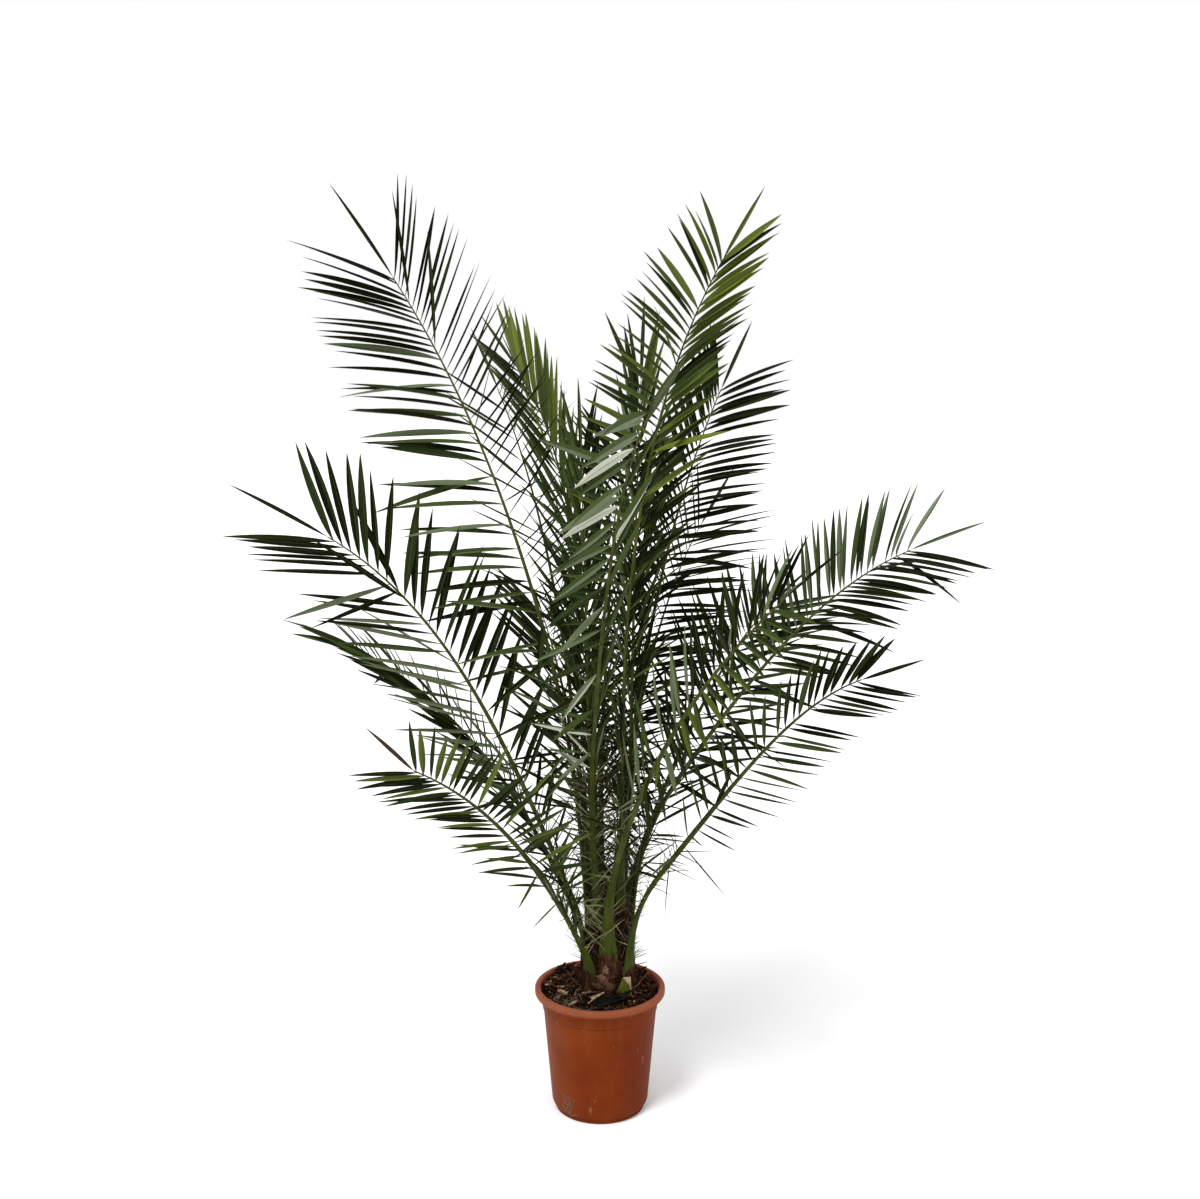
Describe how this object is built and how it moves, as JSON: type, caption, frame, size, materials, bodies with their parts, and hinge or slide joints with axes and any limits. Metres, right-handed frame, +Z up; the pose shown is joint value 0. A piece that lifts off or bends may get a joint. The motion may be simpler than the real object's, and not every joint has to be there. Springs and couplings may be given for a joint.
{
  "type": "potted canary island date palm",
  "caption": "Young feather palm with arching pinnate fronds on a short fibrous trunk, standing in a round terracotta-coloured plastic nursery pot filled with mulch.",
  "frame": {"origin": "centre of the pot's flat underside, which stands on the floor", "axes": "+Z up along the plant; -Y is the side seen in the picture; +X is the right of that view"},
  "size_m": [1.6594, 1.7097, 2.113],
  "materials": {
    "pot_plastic": "satin moulded terracotta-coloured plastic, dusty in places",
    "mulch": "moist dark potting mulch with bark chips and fine roots",
    "trunk_fibre": "matted brown fibre with papery sheaths and cut leaf bases",
    "leaf": "stiff glossy green leaflets on a yellow-green rib"
  },
  "bodies": {
    "root": {"pot": "pot_plastic", "soil": "mulch", "trunk": "trunk_fibre", "frond_left_upper": "leaf", "frond_right_upper": "leaf", "frond_left_middle": "leaf", "frond_right_middle": "leaf", "frond_front": "leaf", "frond_left_low": "leaf", "frond_right_low": "leaf", "frond_front_right": "leaf", "frond_right_back": "leaf", "frond_inner_left": "leaf", "frond_left_back_low": "leaf", "frond_back_right": "leaf", "spear_right": "leaf", "spear_left": "leaf", "frond_back_left": "leaf", "frond_back": "leaf", "frond_back_low": "leaf", "frond_back_right_low": "leaf"}
  },
  "joints": []
}
